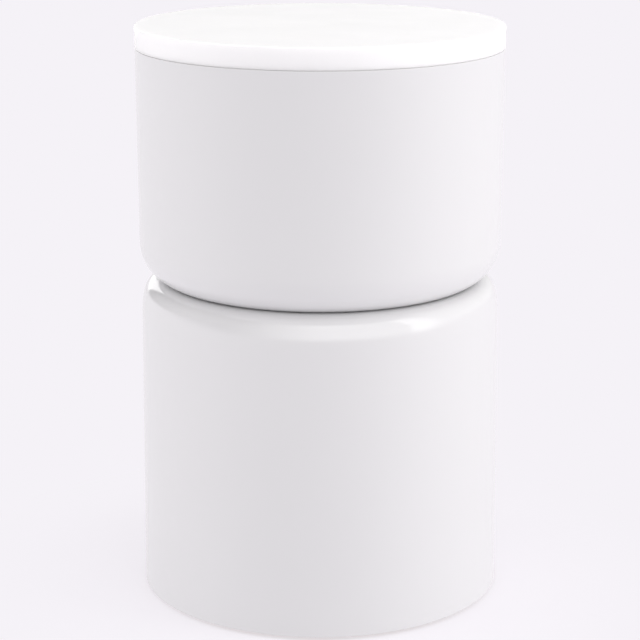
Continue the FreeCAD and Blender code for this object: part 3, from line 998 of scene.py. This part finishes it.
screw_seats = plate_seats(base_circle, wood_thread, base_screws.reach)
bolt_seats = plate_seats(ballast_circle, ballast_thread, ballast_bolts.reach)
glide_way = (plate.low - spare, span["glide_screws"].high)
glide_pilots = holes(glide_circle, wood_thread + fit_clearance, *glide_way)
plate_corners = [(0, plate.low), (plate.outer, plate.low, soft_ease)]
plate_corners += [(plate.outer, plate.high), (0, plate.high)]
plate_drills = [(drill, ring) for ring in (screw_seats, bolt_seats, glide_pilots)]
shaped_piece("base_plate", plate_corners, False, (lathe, smooth_round), *plate_drills)

weight_ease = 2 * mm
weight_corners = [
    (weight.inner, weight.low),
    (weight.outer, weight.low),
    (weight.outer, weight.high, weight_ease),
    (weight.inner, weight.high, weight_ease),
]
through_weight = (weight.low - spare, weight.high + spare)
bolt_holes = holes(ballast_circle, ballast_thread + hole_clearance, *through_weight)
shaped_piece("ballast_plate", weight_corners, True, (lathe, smooth_round), (drill, bolt_holes))

# %% [markdown]
# ## What holds the foot
# Wood screws fix the plate to its ring and a glide to each quarter of the plate, and bolts hold the weight.
# The glides are short turned pads with a pocket for the screw head, so that no metal touches the floor.

# %% Screws, bolts and glides of the foot
for node, circle in (("base_screws", base_circle), ("glide_screws", glide_circle)):
    flat_head_screws(node, circle, wood_thread, pitch=1.8 * mm, socket=2.5 * mm, tip=3 * mm)
flat_head_screws("ballast_bolts", ballast_circle, ballast_thread, pitch=1 * mm, socket=4 * mm)
washers("ballast_washers", ballast_thread, ballast_circle)
lock_nuts("ballast_nuts", ballast_thread, ballast_circle, True)

glide_screws = span["glide_screws"]
glide_round = 1.5 * mm
pocket = glide_screws.reach + fit_clearance
screw_way = wood_thread + fit_clearance
glide_corners = [
    (screw_way, glides.high),
    (glides.reach, glides.high),
    (glides.reach, glides.low, glide_round),
    (pocket, glides.low),
    (pocket, glide_screws.low),
    (screw_way, glide_screws.low + pocket - screw_way),
]
shaped_piece("glides", glide_corners, True, (hardware, {**fine_turn, **glide_circle}))

# %% [markdown]
# ## A pale studio
# The photograph is a white table on an almost white ground. The world has that even pale tone for the
# camera and for reflections, while a dimmer light with a faint tint falls on the table from all sides. The
# Light Path node tells the two apart.

# %% World
studio_pale = (0.913, 0.888, 0.930, 1.0)
ambient_strength = 0.58
studio_tint = (1.0, 0.98, 0.99)


def seen_directly(tree):
    """One for camera, mirror and glass rays, and nothing for the light that falls on things."""
    path = add(tree, "ShaderNodeLightPath").outputs
    mirrored = maths(tree, "MAXIMUM", path["Is Glossy Ray"], path["Is Transmission Ray"])
    return maths(tree, "MAXIMUM", path["Is Camera Ray"], mirrored)


world = bpy.data.worlds.new("pale_studio")
world.use_nodes = True
bpy.context.scene.world = world
tree = world.node_tree
ambient = tree.nodes["Background"]
ambient.inputs["Color"].default_value = (*studio_tint, 1)
ambient.inputs["Strength"].default_value = ambient_strength
pale = add(tree, "ShaderNodeBackground", {"Color": studio_pale})
sky = add(tree, "ShaderNodeMixShader", {0: seen_directly(tree), 1: ambient.outputs[0], 2: pale.outputs[0]})
tree.links.new(sky.outputs[0], tree.nodes["World Output"].inputs["Surface"])
print("world", world.name)

# %% [markdown]
# ## The floor
# A large disc lies just under the glides. Close to the table it is paper that takes a soft shadow, and it
# glows with painted light that lifts the shadow and lights the table's foot from below. Further out a Map
# Range on the distance fades it into the studio's tone for the camera and for reflections, so that no horizon
# shows.

# %% Floor
floor_reach = 12.0
shadow_reach = 0.15
fade_reach = 0.36
floor_gap = 0.2 * mm
floor_colour = (0.34, 0.333, 0.347, 1.0)
# painted light: the paper's own emission brightens its shadow and lights the table from below
floor_painted_glow = 0.64
floor_sides = 96
floor_mesh = bpy.data.meshes.new("floor")
disc_faces = bmesh.new()
below_glides = Matrix.Translation((0, 0, -floor_gap))
disc_sizes = {"segments": floor_sides, "radius": floor_reach, "matrix": below_glides}
bmesh.ops.create_circle(disc_faces, cap_ends=True, **disc_sizes)
disc_faces.to_mesh(floor_mesh)
disc_faces.free()
floor = bpy.data.objects.new("floor", floor_mesh)
bpy.context.collection.objects.link(floor)

floor_finish = bpy.data.materials.new("studio_floor")
floor_finish.use_nodes = True
tree = floor_finish.node_tree
paper = tree.nodes["Principled BSDF"]
paper.inputs["Base Color"].default_value = floor_colour
paper.inputs["Roughness"].default_value = 0.9
paper.inputs["Specular IOR Level"].default_value = 0.0
paper.inputs["Emission Color"].default_value = studio_pale
# the paper glows with painted light on top of its dim colour
paper.inputs["Emission Strength"].default_value = floor_painted_glow
glow = add(tree, "ShaderNodeEmission", {"Color": studio_pale})
place = add(tree, "ShaderNodeTexCoord").outputs["Object"]
away = add(tree, "ShaderNodeVectorMath", {0: place}, operation="LENGTH").outputs["Value"]
fade_range = {"Value": away, "From Min": shadow_reach, "From Max": fade_reach}
fade = add(tree, "ShaderNodeMapRange", fade_range, interpolation_type="SMOOTHSTEP").outputs["Result"]
shown = maths(tree, "MULTIPLY", fade, seen_directly(tree))
ground = add(tree, "ShaderNodeMixShader", {0: shown, 1: paper.outputs[0], 2: glow.outputs[0]})
tree.links.new(ground.outputs[0], tree.nodes["Material Output"].inputs["Surface"])
floor_mesh.materials.append(floor_finish)
print("floor", floor_reach, "m")

# %% [markdown]
# ## Softboxes
# Wide soft lamps light the table from the right, the left and above, and two low white cards in front throw
# light up at its foot. Each lamp is placed by its direction from the table, and its power is worked out from
# how bright its face should be. Gloss would mirror their hard edges, so mirror rays do not see these lamps:
# what the gloss shows comes in the next cell.

# %% Lamps
target = Vector((0, 0, span["lid_slab"].high / 2))
lamp_distance = 2.2
card_distance = 1.0


def softbox(name, azimuth, elevation, width, height, brightness, distance=lamp_distance):
    """A rectangular lamp that looks at the table. Azimuth 0 is the camera's side, positive to the right."""
    side, rise = math.radians(azimuth), math.radians(elevation)
    toward = Vector((math.sin(side) * math.cos(rise), -math.cos(side) * math.cos(rise), math.sin(rise)))
    lamp = bpy.data.lights.new(name, "AREA")
    lamp.shape = "RECTANGLE"
    lamp.color = studio_tint
    lamp.size, lamp.size_y = width, height
    lamp.energy = brightness * math.pi * width * height
    holder = bpy.data.objects.new(name, lamp)
    holder.location = target + toward * distance
    holder.rotation_euler = toward.to_track_quat("Z", "Y").to_euler()
    holder.visible_camera = False
    holder.visible_glossy = False
    bpy.context.collection.objects.link(holder)
    print(name, "power", round(lamp.energy, 1), "W")


softbox("key_right", azimuth=79, elevation=22, width=1.7, height=2.1, brightness=2.2)
softbox("fill_left", azimuth=-85, elevation=20, width=1.6, height=1.6, brightness=1.9)
softbox("front_top", azimuth=15, elevation=50, width=1.6, height=1.2, brightness=0.85)
softbox("overhead", azimuth=0, elevation=88, width=1.8, height=1.8, brightness=1.05)
card = {"elevation": -10, "width": 1.2, "height": 0.14, "distance": card_distance}
softbox("card_left", azimuth=-45, brightness=1.1, **card)
softbox("card_right", azimuth=45, brightness=1.5, **card)

# %% [markdown]
# ## A scrim for the gloss to mirror
# Gloss shows the room that it stands in. In the photograph the shoulder is a little darker on the left,
# brightens smoothly towards the front, and has a crisp bright corner on the right: a dark corner of the
# studio, a wide lit cloth and the edge of a softbox. One curved screen round the table stands for all of
# them. Its brightness follows the angle round the table through a Color Ramp, its foot fades into the
# studio's tone, and only mirror rays see it.

# %% Scrim
scrim_radius = 2.2
scrim_low = 0.2
scrim_full = 0.5
scrim_high = 3.2
scrim_steps = 120
brightest = 3.2
back_levels = ((-180, 0.9), (-165, 0.9), (-163, 2.0), (-148, 2.0), (-146, 0.03))
left_levels = ((-62, 0.03), (-45, 0.6), (-30, 1.4), (-13, 2.1))
front_levels = ((0, 2.5), (15, 2.4), (35, 2.1), (57, 1.7))
right_levels = ((58, 3.2), (70, 3.0), (84, 1.5), (110, 1.3), (180, 0.9))
scrim_levels = back_levels + left_levels + front_levels + right_levels
rim = []
for level in (scrim_low, scrim_high):
    for step in range(scrim_steps):
        turn = 2 * math.pi * step / scrim_steps
        rim.append((scrim_radius * math.sin(turn), -scrim_radius * math.cos(turn), level))
panels = []
for step in range(scrim_steps):
    following = (step + 1) % scrim_steps
    panels.append((step, following, scrim_steps + following, scrim_steps + step))
scrim_mesh = bpy.data.meshes.new("scrim")
scrim_mesh.from_pydata(rim, [], panels)
scrim = bpy.data.objects.new("scrim", scrim_mesh)
bpy.context.collection.objects.link(scrim)
scrim.visible_camera = False
scrim.visible_diffuse = False
scrim.visible_transmission = False
scrim.visible_shadow = False

cloth = bpy.data.materials.new("lit_cloth")
cloth.use_nodes = True
tree = cloth.node_tree
axes = add(tree, "ShaderNodeSeparateXYZ", {0: add(tree, "ShaderNodeTexCoord").outputs["Object"]}).outputs
angle = maths(tree, "ARCTAN2", axes["X"], maths(tree, "MULTIPLY", axes["Y"], -1.0))
share = maths(tree, "ADD", maths(tree, "DIVIDE", angle, 2 * math.pi), 0.5)
ramp = add(tree, "ShaderNodeValToRGB", {"Fac": share})
for stop, (azimuth, level) in enumerate(scrim_levels):
    stops = ramp.color_ramp.elements
    place_on_ramp = (azimuth + 180) / 360
    element = stops[stop] if stop < len(stops) else stops.new(place_on_ramp)
    element.position = place_on_ramp
    element.color = [level / brightest] * 3 + [1.0]
rise = {"Value": axes["Z"], "From Min": scrim_low, "From Max": scrim_full}
foot_fade = add(tree, "ShaderNodeMapRange", rise, interpolation_type="SMOOTHSTEP").outputs["Result"]
foot_tone = [channel / brightest for channel in studio_pale]
screen = mixed(tree, foot_fade, foot_tone, ramp.outputs["Color"])
shine = add(tree, "ShaderNodeEmission", {"Color": screen, "Strength": brightest})
tree.links.new(shine.outputs[0], tree.nodes["Material Output"].inputs["Surface"])
scrim_mesh.materials.append(cloth)
print("scrim", len(panels), "panels")

# %% [markdown]
# ## The camera
# The photograph looks down on the table from a little above, with a long lens. Its distance, height and
# tilt were worked out from where the top, the seam, the waist and the foot lie in the picture.

# %% Camera
camera_distance = 1.88
camera_height = 0.745
camera_pitch = math.radians(14.83)
picture_width = 640
focal_pixels = 2110
camera = bpy.data.cameras.new("camera")
camera.lens = camera.sensor_width * focal_pixels / picture_width
viewer = bpy.data.objects.new("camera", camera)
viewer.location = (0, -camera_distance, camera_height)
viewer.rotation_euler = (math.pi / 2 - camera_pitch, 0, 0)
bpy.context.collection.objects.link(viewer)
bpy.context.scene.camera = viewer
bpy.context.scene.view_settings.view_transform = "Standard"
print("lens", round(camera.lens, 1), "mm")
